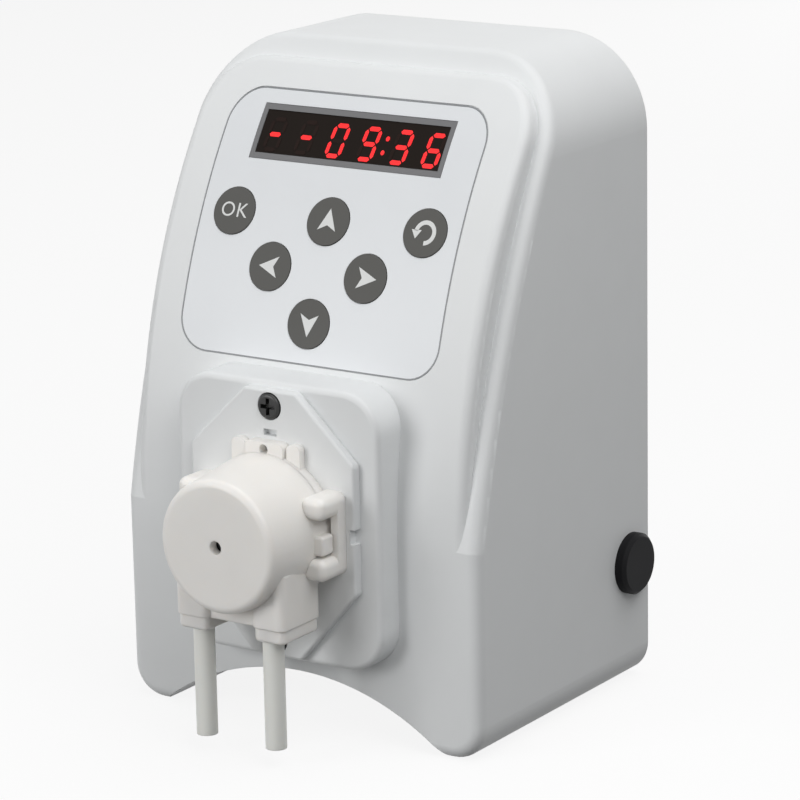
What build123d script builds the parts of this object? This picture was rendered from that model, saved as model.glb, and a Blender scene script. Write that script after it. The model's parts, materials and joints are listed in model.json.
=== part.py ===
from build123d import *
from math import asin, cos, degrees, radians, sin, sqrt
import os

# Peristaltic dosing pump. Millimetres. +X is to the right of someone who faces the display, +Y
# points to the rear and +Z up. The origin is the middle of the housing's base, on the surface
# that the pump stands on.

# --- Housing -----------------------------------------------------------------------------------
HOUSING_WIDTH = 100.0
HOUSING_DEPTH = 76.4
HOUSING_HEIGHT = 157.3
WALL = 2.5
TOP_CORNER_R = 22.0
BOTTOM_CORNER_R = 8.2
ARCH_HALF_SPAN = 40.5
ARCH_HEIGHT = 14.4
HOOD_EDGE_R = 3.0
BEND_HEIGHT = 50.0            # the front stands upright below this height and leans back above it
BAND_LEAN = 11.0              # degrees, lean of the side band just above the bend
BAND_R = 300.0                # curve of the side band, seen from the side
PANEL_R = 157.0               # curve of the raised panel, seen from the side

# --- Raised panel pad, overlay, display and keys -------------------------------------------------
PAD_HALF_WIDTH = 46.4
PAD_TOP = 152.0
PAD_CORNER_R = 14.0
PAD_EDGE_R = 2.6
PAD_FOOT_DROP = 6.0           # how far the pad's root runs down inside the upright front
OVERLAY_HALF_WIDTH = 36.3
OVERLAY_BOTTOM = 87.3
OVERLAY_TOP = 145.8
OVERLAY_CORNER_R = 8.0
OVERLAY_THICKNESS = 0.5
INSERT_GAP = 0.1              # all round the overlay, the display frame and the window
WINDOW_HALF_WIDTH = 27.0
WINDOW_BOTTOM = 130.6
WINDOW_TOP = 142.5
WINDOW_THICKNESS = 1.6
WINDOW_SINK = 0.2             # the window lies below its frame by this
FRAME_WIDTH = 1.3
KEY_DIAMETER = 11.5
KEY_THICKNESS = 0.6
KEY_PROUD = 0.15
KEY_GAP = 0.15
PANEL_CUT = 3.0               # reach of the overlay's key holes, each way from the panel
KEY_TRAVEL = 0.3
KEY_STEM_DIAMETER = 4.0
KEY_STEM_GAP = 0.3
KEY_SIDE_PITCH = 26.8         # centre plane to the confirm and back keys
KEY_ARROW_PITCH = 13.4        # centre plane to the left and right keys
KEY_ROWS = (119.0, 107.9, 96.5)

# --- Control board -------------------------------------------------------------------------------
BOARD_HEIGHT_Z = 117.0        # height of the board's middle
BOARD_SETBACK = 12.0          # from the panel's surface to the board's front face
BOARD_WIDTH = 74.0
BOARD_LENGTH = 58.0
BOARD_THICKNESS = 1.6
BOARD_SCREW_INSET = 4.0
BOARD_SCREW_GRIP = 5.0        # of its shank in the housing's boss
BOARD_SCREW_HOLE = 7.0
SCREW_HEAD_ROUND = 0.45       # share of a head's height that is rounded off
STANDOFF_R = 3.2
SWITCH_SIZE = 6.0
SWITCH_BODY = 3.5
SWITCH_BUTTON_R = 1.75
SWITCH_BUTTON = 0.8
SWITCH_GAP = 0.6
LED_MODULE_GAP = 0.4
CELL_WIDTH = 24.0             # coin cell holder; its place is from the board's middle
CELL_LENGTH = 22.0
CELL_CORNER_R = 3.0
CELL_HEIGHT = 4.5
CELL_X = 18.0
CELL_UP = 6.0
TERMINAL_WIDTH = 15.0
TERMINAL_LENGTH = 8.0
TERMINAL_HEIGHT = 9.0
TERMINAL_X = -24.0
TERMINAL_UP = -18.0
CAPACITOR_R = 4.0
CAPACITOR_HEIGHT = 11.0
CAPACITOR_X = -4.0
CAPACITOR_UP = -16.0
M3_R = 1.5
M3_HEAD_R = 2.8
M3_HEAD = 1.8
SCREW_FIT = 0.02

# --- Pump plinth and base plate ------------------------------------------------------------------
PUMP_AXIS_Z = 52.6
PLINTH_PROUD = 7.0
PLINTH_HALF_WIDTH = 28.3
PLINTH_HALF_HEIGHT = 33.2
PLINTH_CORNER_R = 10.0
PLINTH_EDGE_R = 1.5
PLATE_HALF_WIDTH = 22.9
PLATE_HALF_HEIGHT = 31.9
PLATE_SIDE_TOP = 16.8         # ends of the plate's upright sides, from the pump's axis
PLATE_SIDE_BOTTOM = -13.9
PLATE_TOP_HALF = 7.0          # half the length of the plate's top and bottom edges
PLATE_THICKNESS = 2.3
PLATE_EDGE_R = 0.7
PLATE_CORNER_R = 2.0
PLATE_SCREW_OFFSET = 28.0
PLATE_SCREW_HEAD_R = 3.05
PLATE_SCREW_HEAD = 1.9
PLATE_SCREW_SINK = 1.2        # depth of the counterbore that its head sits in
PLATE_SCREW_ROOM = 0.2        # around its head
PAN_HEAD_ROUND = 0.7
SCREW_POINT = 2.0             # how far a screw reaches past what it holds
NOTCH_DEPTH = 1.3
NOTCH_HEIGHT = 3.4
SLOT_OFFSET = 21.8
SLOT_WIDTH = 3.6
SLOT_HEIGHT = 1.5
SLOT_DEPTH = 1.5

# --- Pump head -----------------------------------------------------------------------------------
HEAD_LENGTH = 22.2            # from the base plate to the drum's front face
DRUM_FRONT_R = 15.6
DRUM_REAR_R = 17.6
DRUM_RIM_R = 1.8
DRUM_WALL = 2.6
DRUM_HOLE_R = 1.6
HEAD_BASE_THICKNESS = 2.8
TRACK_R = 12.6
TUBE_SETBACK = 7.8            # from the drum's front face to the tube's plane
TUBE_R = 2.5
TUBE_BORE_R = 1.5
TUBE_SPACING = 9.8            # centre plane to each tube tail
TUBE_CLEARANCE = 0.3
TUBE_END_Z = 4.5
TUBE_PRESSED_HALF = 1.5       # half the pressed tube's thickness
TUBE_PRESSED_REACH = 3.2      # half the pressed tube's width
TUBE_EASE = 10.0              # length over which a tail goes from round to pressed
TUBE_EASE_ROOM = 3.0          # of its channel below the easing
NOZZLE_BOTTOM_Z = 30.4
NOZZLE_INNER = 6.0
NOZZLE_OUTER = 15.3
NOZZLE_FRONT = 3.7            # from the tube's plane to the nozzles' front
NOZZLE_EDGE_R = 2.0
NOZZLE_TOP_DROP = 6.0         # from the pump's axis to the blocks' hidden tops
NOZZLE_TIP = 3.2              # height of the narrower tip
NOZZLE_STEP = 0.45            # how far the tip is set in all round
NOZZLE_TIP_ROUND = 0.8
BRIDGE_FRONT = 2.2            # from the tube's plane to the front of the bridge between nozzles
LUG_ROOT = 12.0               # the lug's ends, from the pump's axis
LUG_REACH = 20.2
LUG_BLOCK_HALF = 5.3
LUG_BLOCK_ROUND = 1.3
LUG_HOLE_R = 1.2
LUG_HOLE_OFFSET = 18.4
LUG_EAR_WIDTH = 3.8
LUG_EAR_ROUND = 1.5
LUG_EAR_SET = 0.8             # how far the ears lie behind the centre block's face
LUG_SLIT = 0.5
CLIP_OFFSET = 0.8             # clip's middle, above the pump's axis
CLIP_EAR_PITCH = 7.2          # clip's middle to each ear's middle
CLIP_EAR_HEIGHT = 5.2
CLIP_EAR_ROUND = 2.0
CLIP_OUTER = 20.6
CLIP_ROOT = 14.0
CLIP_DEPTH = 9.0              # from the base plate to the ears' front
STRAP_WIDTH = 2.0
STRAP_DEPTH = 3.2
CLIP_FIT = 0.1
NUB_OUTER = 19.4
NUB_OFFSET = -0.8
NUB_HEIGHT = 4.6
NUB_FRONT = 7.6               # from the base plate
NUB_BACK = 3.7
NUB_ROUND = 0.7
ROLLER_R = 3.0
ROLLER_LENGTH = 6.4
ROLLER_EDGE_R = 0.4
ROLLER_COUNT = 3
ROLLER_PIN_R = 1.0
RUNNING_FIT = 0.05
CARRIER_FLANGE = 1.2
CARRIER_HUB_R = 2.7
SHAFT_R = 1.5
SHAFT_ROOM = 1.5              # around the shaft in the housing and the base plate
END_FLOAT = 0.3

# --- Gear motor, side plug, rear cover -----------------------------------------------------------
GEARBOX_R = 16.0
GEARBOX_LENGTH = 21.0
GEARBOX_FLOOR = 3.0           # metal left behind the shaft
FLANGE_THICKNESS = 2.0
FLANGE_HALF_WIDTH = 7.0
FLANGE_END = 2.6              # beyond the screw holes' centres
MOTOR_R = 13.8
MOTOR_LENGTH = 27.0
MOTOR_EDGE_R = 1.5
MOTOR_BOSS_R = 4.0
MOTOR_BOSS = 1.5
MOTOR_TAB_OFFSET = 8.0        # from the motor's axis
MOTOR_TAB_THICKNESS = 0.6
MOTOR_TAB_WIDTH = 3.0
MOTOR_TAB_LENGTH = 4.0
PLUG_SETBACK = 8.4            # from the housing's rear edge to the plug's centre
PLUG_Z = 30.6
PLUG_R = 7.5
PLUG_HEAD = 2.8
PLUG_CHAMFER = 0.8
PLUG_STEM_R = 5.0
PLUG_FIT = 0.1
COVER_THICKNESS = 2.2
COVER_REBATE = 1.2
COVER_RECESS = 0.5
COVER_FIT = 0.15
COVER_SCREW_INSET = 6.4       # from the housing's side to the screws' centres
COVER_SCREW_DROP = 35.3       # from the housing's top to the upper screws
COVER_SCREW_CLEARANCE = 2.0   # between the lower screws' bosses and the side plug
COVER_SCREW_LENGTH = 10.0
COVER_BOSS_R = 3.6
COVER_BOSS_LENGTH = 14.0
JACK_X = -24.0
JACK_Z = 36.0
JACK_R = 4.0
JACK_LENGTH = 12.0
JACK_NUT_WALL = 2.2
JACK_NUT_HEIGHT = 2.2
JACK_FLANGE_R = 5.5
JACK_FLANGE = 1.0
JACK_BORE_R = 2.8
JACK_PIN_R = 1.0
JACK_FLOOR = 2.0

# --- Derived -------------------------------------------------------------------------------------
FRONT_Y = -HOUSING_DEPTH / 2
BACK_Y = HOUSING_DEPTH / 2
PLINTH_FACE_Y = FRONT_Y - PLINTH_PROUD
PLATE_FACE_Y = PLINTH_FACE_Y - PLATE_THICKNESS
DRUM_FACE_Y = PLATE_FACE_Y - HEAD_LENGTH
TUBE_Y = DRUM_FACE_Y + TUBE_SETBACK
PLUG_Y = BACK_Y - PLUG_SETBACK
COVER_FACE_Y = BACK_Y - COVER_RECESS
COVER_SCREW_X = HOUSING_WIDTH / 2 - COVER_SCREW_INSET
COVER_SCREW_LOW_Z = PLUG_Z + PLUG_R + COVER_SCREW_CLEARANCE + COVER_BOSS_R
COVER_SCREW_ZS = (COVER_SCREW_LOW_Z, HOUSING_HEIGHT - COVER_SCREW_DROP)
FLAT_HEAD_DEPTH = M3_HEAD_R - M3_R
ARCH_R = (ARCH_HALF_SPAN**2 + ARCH_HEIGHT**2) / (2 * ARCH_HEIGHT)
TUBE_LOOP_R = TRACK_R - TUBE_CLEARANCE - TUBE_PRESSED_HALF
ROLLER_ORBIT_R = TUBE_LOOP_R - TUBE_PRESSED_HALF - TUBE_CLEARANCE - ROLLER_R
BIG = 3 * HOUSING_HEIGHT


# --- Building blocks -----------------------------------------------------------------------------
def front_plane(y):
    """Plane facing the front at depth y: sketch x is X and sketch y is Z."""
    return Plane(origin=(0, y, 0), x_dir=(1, 0, 0), z_dir=(0, -1, 0))


def slab(sketch, y_front, y_back):
    """Sketch drawn in front view, as a solid between two depths."""
    return extrude(front_plane(y_back) * sketch, amount=y_back - y_front)


def rod(x, z, radius, y_front, y_back):
    """Round bar along Y."""
    return slab(Pos(x, z) * Circle(radius), y_front, y_back)


def taper(x, z, r_front, r_back, y_front, y_back):
    """Round bar along Y whose radius changes evenly from front to back."""
    ends = ((y_back, r_back), (y_front, r_front))
    return loft([front_plane(y) * Pos(x, z) * Circle(radius) for y, radius in ends])


def rounded_rect(half_width, bottom, top, radius):
    """Rounded rectangle in front view, symmetric about the centre plane."""
    return Pos(0, (bottom + top) / 2) * RectangleRounded(2 * half_width, top - bottom, radius)


def tilted_plane(x, z, depth=0.0):
    """Plane on the panel's curved surface at (x, z), facing out, sunk by depth along its normal."""
    lean = asin((z - BEND_HEIGHT) / PANEL_R)
    y = FRONT_Y + PANEL_R * (1 - cos(lean))
    normal = Vector(0, -cos(lean), sin(lean))
    return Plane(origin=Vector(x, y, z) - normal * depth, x_dir=(1, 0, 0), z_dir=normal)


def behind_curve(shift, lean, radius, top):
    """Everything behind a front that is upright up to the bend and then curves back, seen from the
    side. shift moves the whole front towards the rear."""
    front = FRONT_Y + shift
    centre_y = front + radius * cos(radians(lean))
    centre_z = BEND_HEIGHT - radius * sin(radians(lean))
    end_angle = asin((top - centre_z) / radius)
    mid_angle = (radians(lean) + end_angle) / 2
    mid = (centre_y - radius * cos(mid_angle), centre_z + radius * sin(mid_angle))
    end = (centre_y - radius * cos(end_angle), top)
    far = BACK_Y + BIG
    line = Polyline((end[0], top), (far, top), (far, -BIG), (front, -BIG), (front, BEND_HEIGHT))
    arc = ThreePointArc((front, BEND_HEIGHT), mid, end)
    return extrude(Plane.YZ * make_face([line, arc]), amount=BIG, both=True)


def band_region(shift=0.0):
    return behind_curve(shift, BAND_LEAN, BAND_R, HOUSING_HEIGHT + WALL)


def panel_region(shift=0.0):
    return behind_curve(shift, 0.0, PANEL_R, HOUSING_HEIGHT + WALL)


def panel_skin(sketch, sink, thickness):
    """Sheet that follows the panel's curve, from sink below its surface down by thickness."""
    block = slab(sketch, FRONT_Y - WALL, BACK_Y)
    return block & (panel_region(sink) - panel_region(sink + thickness))


def housing_outline(inset=0.0):
    """Front view of the housing, drawn in by inset."""
    half = HOUSING_WIDTH / 2 - inset
    box = Pos(0, HOUSING_HEIGHT / 2) * Rectangle(2 * half, HOUSING_HEIGHT - 2 * inset)
    corners = box.vertices().sort_by(Axis.Y)
    box = fillet(corners[:2], BOTTOM_CORNER_R - inset)
    box = fillet(box.vertices().sort_by(Axis.Y)[-2:], TOP_CORNER_R - inset)
    return box - Pos(0, ARCH_HEIGHT - ARCH_R) * Circle(ARCH_R + inset)


def pad_outline(inset=0.0):
    """Front view of the raised panel pad."""
    half = PAD_HALF_WIDTH - inset
    bottom = BEND_HEIGHT - PAD_FOOT_DROP
    box = Pos(0, (bottom + PAD_TOP - inset) / 2) * Rectangle(2 * half, PAD_TOP - inset - bottom)
    return fillet(box.vertices().sort_by(Axis.Y)[-2:], PAD_CORNER_R - inset)


def on_curve(edge, lean, radius):
    """True where an edge lies on a front made by behind_curve."""
    centre_y = FRONT_Y + radius * cos(radians(lean))
    centre_z = BEND_HEIGHT - radius * sin(radians(lean))
    for step in (0.1, 0.5, 0.9):
        point = edge @ step
        if point.Z <= BEND_HEIGHT:
            off = abs(point.Y - FRONT_Y)
        else:
            off = abs(sqrt((point.Y - centre_y) ** 2 + (point.Z - centre_z) ** 2) - radius)
        if off > 0.01:
            return False
    return True


def crosses_bend(edge):
    """True for the joint line that runs across the front at the bend."""
    return abs((edge % 0.5).X) > 0.999 and abs((edge @ 0.5).Z - BEND_HEIGHT) < 0.01


def front_edges(solid, lean, radius):
    """The edges around a curved front, without the joint lines across it."""
    edges = [edge for edge in solid.edges() if on_curve(edge, lean, radius)]
    return [edge for edge in edges if not crosses_bend(edge)]


# --- Housing -------------------------------------------------------------------------------------
def hood_body():
    solid = slab(housing_outline(), FRONT_Y - 1, BACK_Y) & band_region()
    front = front_edges(solid, BAND_LEAN, BAND_R)
    edges = [edge for edge in front if (edge @ 0.5).Z > ARCH_HEIGHT + 1]
    return fillet(edges, HOOD_EDGE_R)


def pad_body():
    solid = slab(pad_outline(), FRONT_Y - 1, BACK_Y - 2 * WALL) & panel_region()
    foot = BEND_HEIGHT - PAD_FOOT_DROP
    edges = [edge for edge in front_edges(solid, 0.0, PANEL_R) if (edge @ 0.5).Z > foot + 1]
    return fillet(edges, PAD_EDGE_R)


def plinth_body():
    outline = rounded_rect(
        PLINTH_HALF_WIDTH, PUMP_AXIS_Z - PLINTH_HALF_HEIGHT, PUMP_AXIS_Z + PLINTH_HALF_HEIGHT, PLINTH_CORNER_R
    )
    solid = slab(outline, PLINTH_FACE_Y, 0)
    return fillet(solid.faces().sort_by(Axis.Y)[0].edges(), PLINTH_EDGE_R)


def housing_cavity():
    hood = slab(housing_outline(WALL), FRONT_Y, BACK_Y + 1) & band_region(WALL)
    pad = slab(pad_outline(WALL), FRONT_Y, BACK_Y + 1) & panel_region(WALL)
    outline = rounded_rect(
        PLINTH_HALF_WIDTH - WALL,
        PUMP_AXIS_Z - PLINTH_HALF_HEIGHT + WALL,
        PUMP_AXIS_Z + PLINTH_HALF_HEIGHT - WALL,
        PLINTH_CORNER_R - WALL,
    )
    plinth = slab(outline, PLINTH_FACE_Y + WALL, 0)
    return hood + (pad & slab(housing_outline(WALL), FRONT_Y, BACK_Y + 1)) + plinth


def board_plane(height=0.0):
    """Front face of the control board; a positive height lies in front of it."""
    return tilted_plane(0, BOARD_HEIGHT_Z, BOARD_SETBACK - height)


def board_screw_spots():
    across = BOARD_WIDTH / 2 - BOARD_SCREW_INSET
    along = BOARD_LENGTH / 2 - BOARD_SCREW_INSET
    return [(x, z) for x in (-across, across) for z in (-along, along)]


def cover_screw_spots():
    return [(x, z) for x in (-COVER_SCREW_X, COVER_SCREW_X) for z in COVER_SCREW_ZS]


KEYS = {
    "key_confirm": (-KEY_SIDE_PITCH, KEY_ROWS[0]),
    "key_up": (0.0, KEY_ROWS[0]),
    "key_back": (KEY_SIDE_PITCH, KEY_ROWS[0]),
    "key_left": (-KEY_ARROW_PITCH, KEY_ROWS[1]),
    "key_right": (KEY_ARROW_PITCH, KEY_ROWS[1]),
    "key_down": (0.0, KEY_ROWS[2]),
}


def overlay_outline(gap=0.0):
    return rounded_rect(
        OVERLAY_HALF_WIDTH + gap, OVERLAY_BOTTOM - gap, OVERLAY_TOP + gap, OVERLAY_CORNER_R + gap
    )


def window_outline(grow=0.0):
    height = WINDOW_TOP - WINDOW_BOTTOM + 2 * grow
    return Pos(0, (WINDOW_BOTTOM + WINDOW_TOP) / 2) * Rectangle(2 * (WINDOW_HALF_WIDTH + grow), height)


def front_housing():
    solid = hood_body() + pad_body() + plinth_body() - housing_cavity()
    # standoffs for the control board, and bosses for the rear cover's screws
    room = pad_body() & slab(pad_outline(WALL / 2), FRONT_Y, BACK_Y)
    for x, z in board_screw_spots():
        post = board_plane() * Pos(x, z) * extrude(Circle(STANDOFF_R), amount=2 * BOARD_SETBACK)
        solid += post & room
    boss_back = COVER_FACE_Y - COVER_THICKNESS - COVER_FIT
    shell = slab(housing_outline(WALL / 2), FRONT_Y, BACK_Y)
    for x, z in cover_screw_spots():
        boss_front = boss_back - COVER_BOSS_LENGTH
        boss = rod(x, z, COVER_BOSS_R, boss_front, boss_back)
        side = 1 if x > 0 else -1
        web = slab(Pos(x + side * WALL, z) * Rectangle(2 * WALL, WALL), boss_front, boss_back)
        solid += (boss + web) & shell
    for x, z in board_screw_spots():
        solid -= board_plane(-1) * Pos(x, z) * extrude(
            Circle(M3_R + SCREW_FIT), amount=BOARD_SCREW_HOLE
        )
    for x, z in cover_screw_spots():
        solid -= rod(x, z, M3_R + SCREW_FIT, boss_back - COVER_BOSS_LENGTH + 2, BACK_Y)
    # rebate for the rear cover
    solid -= slab(housing_outline(COVER_REBATE), COVER_FACE_Y - COVER_THICKNESS, BACK_Y + 1)
    # overlay pocket, window opening and key openings
    solid -= panel_skin(overlay_outline(INSERT_GAP), -1, 1 + OVERLAY_THICKNESS)
    solid -= slab(window_outline(), FRONT_Y - WALL, 0) & pad_body()
    for x, z in KEYS.values():
        plane = tilted_plane(x, z, KEY_THICKNESS - KEY_PROUD + KEY_TRAVEL + KEY_GAP)
        solid -= plane * extrude(Circle(KEY_DIAMETER / 2 + KEY_GAP), amount=WALL)
        stem_hole = Circle(KEY_STEM_DIAMETER / 2 + KEY_STEM_GAP)
        solid -= tilted_plane(x, z, 2 * WALL) * extrude(stem_hole, amount=3 * WALL)
    # drive shaft, base plate screws, side plug
    solid -= rod(0, PUMP_AXIS_Z, SHAFT_R + SHAFT_ROOM, PLINTH_FACE_Y - 1, 0)
    for side in (-1, 1):
        z = PUMP_AXIS_Z + side * PLATE_SCREW_OFFSET
        solid -= rod(0, z, M3_R + SCREW_FIT, PLINTH_FACE_Y - 1, FRONT_Y)
    solid -= Plane((0, PLUG_Y, PLUG_Z), x_dir=(0, 1, 0), z_dir=(1, 0, 0)) * extrude(
        Circle(PLUG_STEM_R + PLUG_FIT), amount=HOUSING_WIDTH
    )
    return solid


def rear_cover():
    inner_y = COVER_FACE_Y - COVER_THICKNESS
    solid = slab(housing_outline(COVER_REBATE + COVER_FIT), inner_y, COVER_FACE_Y)
    for x, z in cover_screw_spots():
        solid -= rod(x, z, M3_R + SCREW_FIT, inner_y - 1, BACK_Y)
        solid -= flat_head(x, z, SCREW_FIT)
    solid -= rod(JACK_X, JACK_Z, JACK_FLANGE_R + SCREW_FIT, COVER_FACE_Y - JACK_FLANGE, BACK_Y)
    return solid - rod(JACK_X, JACK_Z, JACK_R + SCREW_FIT, inner_y - 1, BACK_Y)


def flat_head(x, z, grow=0.0):
    """Countersunk head, flush with the rear cover's outer face."""
    front = COVER_FACE_Y - FLAT_HEAD_DEPTH
    return taper(x, z, M3_R + grow, M3_HEAD_R + grow, front, COVER_FACE_Y)


def rear_cover_screws():
    shank_end = COVER_FACE_Y - COVER_SCREW_LENGTH
    return Compound(
        children=[
            rod(x, z, M3_R, shank_end, COVER_FACE_Y - FLAT_HEAD_DEPTH / 2) + flat_head(x, z)
            for x, z in cover_screw_spots()
        ]
    )


def power_jack():
    """Barrel inlet. Its flange lies flush in the rear cover."""
    y_inner = COVER_FACE_Y - COVER_THICKNESS - JACK_LENGTH
    solid = rod(JACK_X, JACK_Z, JACK_R, y_inner, COVER_FACE_Y)
    solid += rod(JACK_X, JACK_Z, JACK_FLANGE_R, COVER_FACE_Y - JACK_FLANGE, COVER_FACE_Y)
    solid -= rod(JACK_X, JACK_Z, JACK_BORE_R, y_inner + JACK_FLOOR, BACK_Y)
    return solid + rod(JACK_X, JACK_Z, JACK_PIN_R, y_inner + JACK_FLOOR, COVER_FACE_Y - JACK_FLANGE)


def power_jack_nut():
    y_inner = COVER_FACE_Y - COVER_THICKNESS
    nut = RegularPolygon(JACK_R + JACK_NUT_WALL, 6) - Circle(JACK_R + SCREW_FIT)
    return slab(Pos(JACK_X, JACK_Z) * nut, y_inner - JACK_NUT_HEIGHT, y_inner)


# --- Panel ---------------------------------------------------------------------------------------
def panel_overlay():
    solid = panel_skin(overlay_outline(), 0, OVERLAY_THICKNESS)
    solid -= slab(window_outline(), FRONT_Y - WALL, 0)
    for x, z in KEYS.values():
        hole = extrude(Circle(KEY_DIAMETER / 2 + KEY_GAP), amount=2 * PANEL_CUT)
        solid -= tilted_plane(x, z, PANEL_CUT) * hole
    return solid


def display_frame():
    ring = window_outline(-INSERT_GAP) - window_outline(-FRAME_WIDTH)
    return panel_skin(ring, 0, WINDOW_THICKNESS)


def display_window():
    outline = window_outline(-FRAME_WIDTH - INSERT_GAP / 2)
    return panel_skin(outline, WINDOW_SINK, WINDOW_THICKNESS - WINDOW_SINK)


def key(x, z):
    """Round key cap with the stem that works its switch."""
    back = tilted_plane(x, z, KEY_THICKNESS - KEY_PROUD)
    cap = back * extrude(Circle(KEY_DIAMETER / 2), amount=KEY_THICKNESS)
    length = stem_length(x, z)
    stem = tilted_plane(x, z, KEY_THICKNESS - KEY_PROUD + length) * extrude(
        Circle(KEY_STEM_DIAMETER / 2), amount=length
    )
    return cap + stem


def stem_length(x, z):
    """From the cap's back to just short of the switch's button, along the key's own axis."""
    key_plane = tilted_plane(x, z, KEY_THICKNESS - KEY_PROUD)
    stop = board_plane(SWITCH_BODY + SWITCH_BUTTON + SWITCH_GAP)
    reach = (key_plane.origin - stop.origin).dot(stop.z_dir)
    return reach / key_plane.z_dir.dot(stop.z_dir)


def switch_spot(x, z):
    """Where a key's axis meets the board, in the board's own coordinates."""
    key_plane = tilted_plane(x, z)
    board = board_plane()
    along = (key_plane.origin - board.origin).dot(board.z_dir) / key_plane.z_dir.dot(board.z_dir)
    return board.to_local_coords(key_plane.origin - key_plane.z_dir * along)


def tactile_switches():
    solids = []
    for x, z in KEYS.values():
        spot = switch_spot(x, z)
        body = extrude(Rectangle(SWITCH_SIZE, SWITCH_SIZE), amount=SWITCH_BODY)
        button = extrude(Circle(SWITCH_BUTTON_R), amount=SWITCH_BODY + SWITCH_BUTTON)
        solids.append(board_plane() * Pos(spot.X, spot.Y) * (body + button))
    return Compound(children=solids)


def control_board():
    board = extrude(RectangleRounded(BOARD_WIDTH, BOARD_LENGTH, 2), amount=-BOARD_THICKNESS)
    for x, z in board_screw_spots():
        board -= Pos(x, z) * extrude(Circle(M3_R + SCREW_FIT), amount=2 * BOARD_THICKNESS, both=True)
    return board_plane() * board


def board_screws():
    solids = []
    for x, z in board_screw_spots():
        head = extrude(Circle(M3_HEAD_R), amount=-M3_HEAD)
        head = fillet(head.faces().sort_by(Axis.Z)[0].edges(), M3_HEAD * SCREW_HEAD_ROUND)
        shank = extrude(Circle(M3_R), amount=BOARD_THICKNESS + BOARD_SCREW_GRIP)
        solids.append(board_plane(-BOARD_THICKNESS) * Pos(x, z) * (head + shank))
    return Compound(children=solids)


def led_display():
    """Digit module between the board and the window."""
    spot = switch_spot(0, (WINDOW_BOTTOM + WINDOW_TOP) / 2)
    length = WINDOW_TOP - WINDOW_BOTTOM
    face = tilted_plane(0, WINDOW_TOP, WINDOW_THICKNESS + LED_MODULE_GAP)
    low = tilted_plane(0, WINDOW_BOTTOM, WINDOW_THICKNESS + LED_MODULE_GAP)
    board = board_plane()
    height = min((plane.origin - board.origin).dot(board.z_dir) for plane in (face, low))
    block = extrude(Rectangle(2 * (WINDOW_HALF_WIDTH - FRAME_WIDTH), length), amount=height)
    return board_plane() * Pos(0, spot.Y) * block


def backup_cell():
    """Coin cell in its holder, on the back of the board."""
    holder = extrude(RectangleRounded(CELL_WIDTH, CELL_LENGTH, CELL_CORNER_R), amount=-CELL_HEIGHT)
    return board_plane(-BOARD_THICKNESS) * Pos(CELL_X, CELL_UP) * holder


def driver_parts():
    """Terminal block and capacitor on the back of the board."""
    block = Pos(TERMINAL_X, TERMINAL_UP) * extrude(
        Rectangle(TERMINAL_WIDTH, TERMINAL_LENGTH), amount=-TERMINAL_HEIGHT
    )
    capacitor = Pos(CAPACITOR_X, CAPACITOR_UP) * extrude(Circle(CAPACITOR_R), amount=-CAPACITOR_HEIGHT)
    return Compound(children=[board_plane(-BOARD_THICKNESS) * solid for solid in (block, capacitor)])


# --- Pump drive ----------------------------------------------------------------------------------
def pump_base_plate():
    outline = Polygon(
        *[
            (x, PUMP_AXIS_Z + z)
            for x, z in (
                (PLATE_HALF_WIDTH, PLATE_SIDE_TOP),
                (PLATE_TOP_HALF, PLATE_HALF_HEIGHT),
                (-PLATE_TOP_HALF, PLATE_HALF_HEIGHT),
                (-PLATE_HALF_WIDTH, PLATE_SIDE_TOP),
                (-PLATE_HALF_WIDTH, PLATE_SIDE_BOTTOM),
                (-PLATE_TOP_HALF, -PLATE_HALF_HEIGHT),
                (PLATE_TOP_HALF, -PLATE_HALF_HEIGHT),
                (PLATE_HALF_WIDTH, PLATE_SIDE_BOTTOM),
            )
        ],
        align=None,
    )
    outline = fillet(outline.vertices(), PLATE_CORNER_R)
    solid = slab(outline, PLATE_FACE_Y, PLINTH_FACE_Y)
    solid = fillet(solid.faces().sort_by(Axis.Y)[0].edges(), PLATE_EDGE_R)
    for side in (-1, 1):
        notch = Pos(side * PLATE_HALF_WIDTH, PUMP_AXIS_Z) * Rectangle(2 * NOTCH_DEPTH, NOTCH_HEIGHT)
        solid -= slab(notch, PLATE_FACE_Y - 1, PLINTH_FACE_Y + 1)
        screw_z = PUMP_AXIS_Z + side * PLATE_SCREW_OFFSET
        solid -= rod(0, screw_z, M3_R + SCREW_FIT, PLATE_FACE_Y - 1, 0)
        room_r = PLATE_SCREW_HEAD_R + PLATE_SCREW_ROOM
        solid -= rod(0, screw_z, room_r, PLATE_FACE_Y - 1, PLATE_FACE_Y + PLATE_SCREW_SINK)
        slot = Pos(0, PUMP_AXIS_Z + side * SLOT_OFFSET) * Rectangle(SLOT_WIDTH, SLOT_HEIGHT)
        solid -= slab(slot, PLATE_FACE_Y - 1, PLATE_FACE_Y + SLOT_DEPTH)
    return solid - rod(0, PUMP_AXIS_Z, SHAFT_R + SHAFT_ROOM, PLATE_FACE_Y - 1, 0)


def pan_screw(x, z, length):
    """Pan-head screw that seats in the base plate's counterbore."""
    y_seat = PLATE_FACE_Y + PLATE_SCREW_SINK
    head = rod(x, z, PLATE_SCREW_HEAD_R, y_seat - PLATE_SCREW_HEAD, y_seat)
    head = fillet(head.faces().sort_by(Axis.Y)[0].edges(), PAN_HEAD_ROUND)
    return head + rod(x, z, M3_R, y_seat, y_seat + length)


def base_plate_screws():
    length = PLATE_THICKNESS - PLATE_SCREW_SINK + WALL + FLANGE_THICKNESS + SCREW_POINT
    return Compound(
        children=[
            pan_screw(0, PUMP_AXIS_Z + side * PLATE_SCREW_OFFSET, length) for side in (-1, 1)
        ]
    )


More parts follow.
